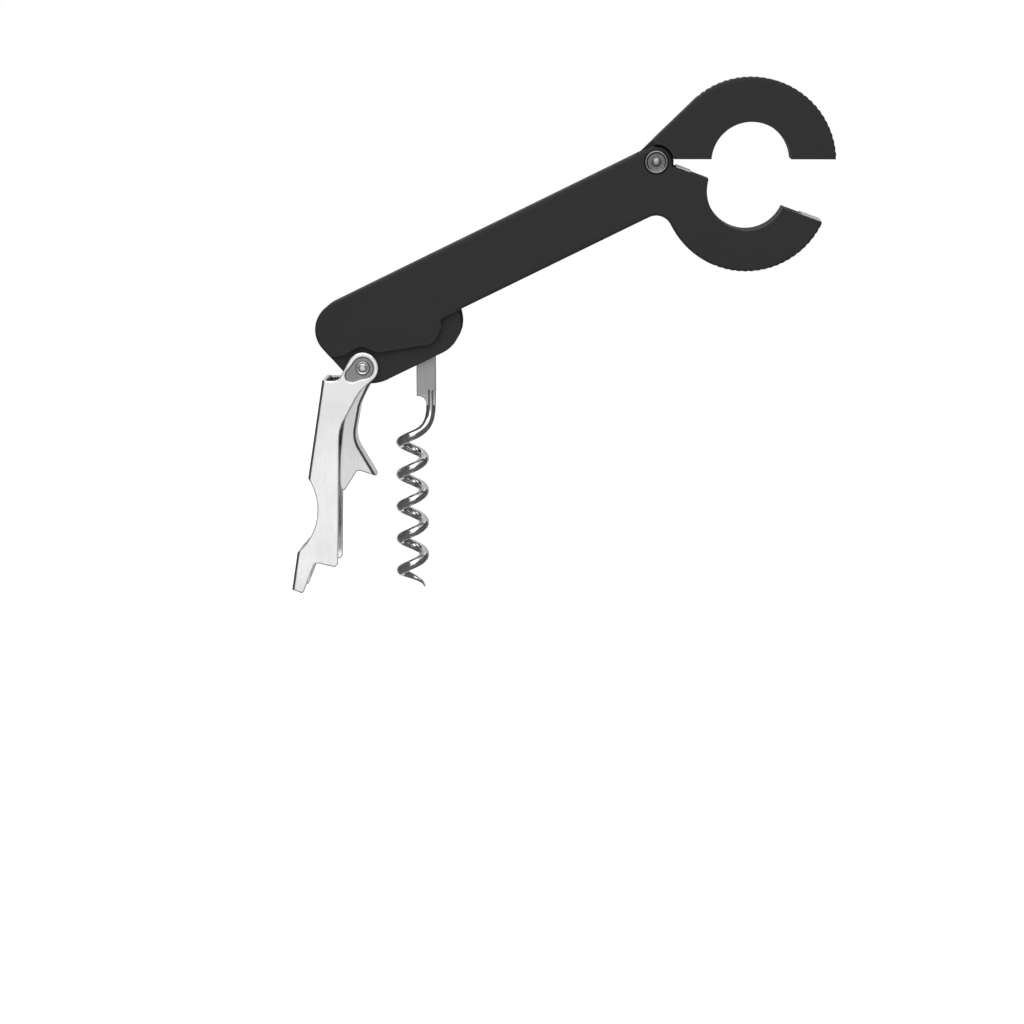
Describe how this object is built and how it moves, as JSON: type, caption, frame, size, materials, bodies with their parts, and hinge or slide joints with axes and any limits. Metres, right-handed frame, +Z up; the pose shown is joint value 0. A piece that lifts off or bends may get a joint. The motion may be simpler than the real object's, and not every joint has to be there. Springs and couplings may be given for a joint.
{
  "type": "waiter's corkscrew",
  "caption": "Waiter's corkscrew with a black moulded handle, a folding worm, stepped steel levers, and cork pliers at the handle's end.",
  "frame": {"origin": "on the worm's axis, level with the top of the cork that the worm stands in", "axes": "+Z up the bottle's axis, +X towards the cork pliers, +Y from the front shell to the back shell"},
  "size_m": [0.1524, 0.018, 0.1452],
  "materials": {
    "moulded_black": "soft-touch matt black",
    "frame_steel": "satin",
    "pin_steel": "satin",
    "rivet_steel": "turned, satin",
    "polished_sheet": "polished sheet steel",
    "worm_steel": "polished wire",
    "nylon": "natural nylon"
  },
  "bodies": {
    "handle": {"front_shell": "moulded_black", "back_shell": "moulded_black", "front_frame_plate": "frame_steel", "back_frame_plate": "frame_steel", "fixed_jaw_core": "frame_steel", "frame_spacers": "pin_steel", "shell_pins": "pin_steel", "lever_rivet": "rivet_steel", "worm_pin": "pin_steel", "worm_bushes": "nylon", "jaw_rivet": "rivet_steel", "jaw_washers": "nylon", "first_step_washers": "nylon"},
    "moving_jaw": {"jaw_front_shell": "moulded_black", "jaw_back_shell": "moulded_black", "jaw_core": "frame_steel", "jaw_pins": "pin_steel"},
    "boot_lever": {"boot_lever": "polished_sheet"},
    "first_step": {"first_step_lever": "polished_sheet"},
    "worm": {"worm": "worm_steel"}
  },
  "joints": [
    {"name": "jaw_hinge", "type": "hinge", "parent": "handle", "child": "moving_jaw", "pos_m": [0.06869, 0, 0.0777], "axis": [0, -1, 0], "range_deg": [-20.3, 0]},
    {"name": "boot_lever_fold", "type": "hinge", "parent": "handle", "child": "boot_lever", "pos_m": [-0.0134, 0, 0.02], "axis": [0, -1, 0], "range_deg": [-38, 116]},
    {"name": "first_step_swing", "type": "hinge", "parent": "boot_lever", "child": "first_step", "pos_m": [-0.0134, 0, 0.02], "axis": [0, -1, 0], "range_deg": [-11, 0]},
    {"name": "worm_fold", "type": "hinge", "parent": "handle", "child": "worm", "pos_m": [-0.00184, 0, 0.02823], "axis": [0, -1, 0], "range_deg": [-38, 116]}
  ],
  "couplings": [
    {"joint": "worm_fold", "follows": "boot_lever_fold", "ratio": 1}
  ]
}
